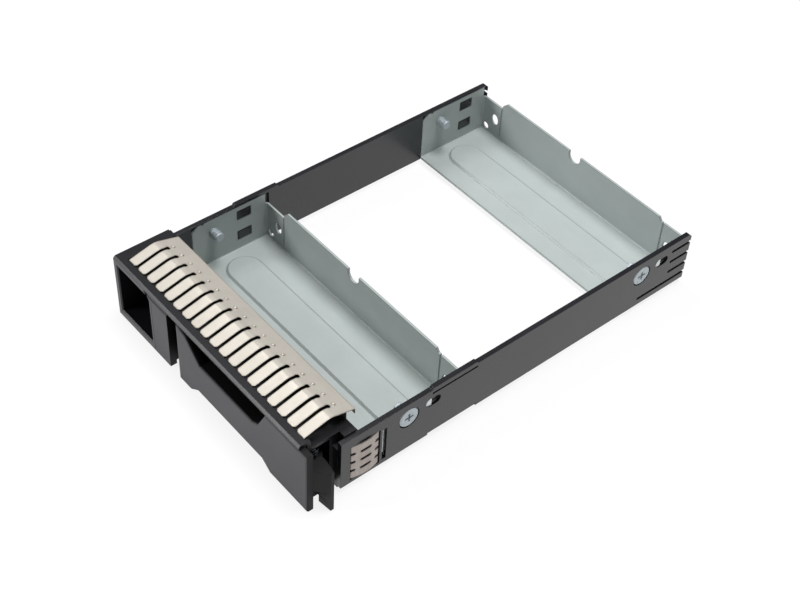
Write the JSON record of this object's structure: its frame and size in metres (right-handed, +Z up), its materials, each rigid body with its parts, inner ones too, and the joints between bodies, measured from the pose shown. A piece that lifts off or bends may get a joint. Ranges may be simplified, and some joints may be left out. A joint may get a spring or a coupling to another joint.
{
  "type": "hot-swap drive carrier",
  "caption": "Caddy for a 3.5-inch-class drive: moulded bezel with ejector lever and spring fingers, side rails and pressed steel trays.",
  "frame": {"origin": "middle of the running surface under the side rails, in the plane of the bezel's face", "axes": "+X to the right seen from the front, +Y along the rails from the bezel to the rear, +Z up"},
  "size_m": [0.1092, 0.1636, 0.0288],
  "materials": {
    "black_plastic": "fine moulded grain, satin black",
    "lever_plastic": "satin moulded black, slightly lighter",
    "zinc_steel": "zinc-coated sheet, soft grey sheen",
    "finger_steel": "bright spring steel with a warm sheen",
    "clip_steel": "spring steel, pinkish grey",
    "screw_zinc": "blue-white zinc plating",
    "pin_steel": "plain drawn steel"
  },
  "bodies": {
    "cage": {"front_bezel": "black_plastic", "left_side_rail": "black_plastic", "right_side_rail": "black_plastic", "front_tray": "zinc_steel", "rear_tray": "zinc_steel", "finger_strip": "finger_steel", "left_ground_spring": "clip_steel", "right_ground_spring": "clip_steel", "lever_pivot_pin": "pin_steel", "button_keeper": "black_plastic", "button_spring": "pin_steel", "front_left_screw": "screw_zinc", "front_right_screw": "screw_zinc", "rear_left_screw": "screw_zinc", "rear_right_screw": "screw_zinc"},
    "lever": {"ejector_lever": "lever_plastic", "lever_spring": "pin_steel"},
    "button": {"release_button": "lever_plastic"}
  },
  "joints": [
    {"name": "lever_hinge", "type": "hinge", "parent": "cage", "child": "lever", "pos_m": [0.0462, 0.006, 0], "axis": [0, 0, 1], "range_deg": [0, 28]},
    {"name": "button_slide", "type": "slide", "parent": "cage", "child": "button", "axis": [0, 1, 0], "range_m": [0, 0.002], "stiffness_N_per_m": 400, "deforming": ["button_spring"]}
  ]
}
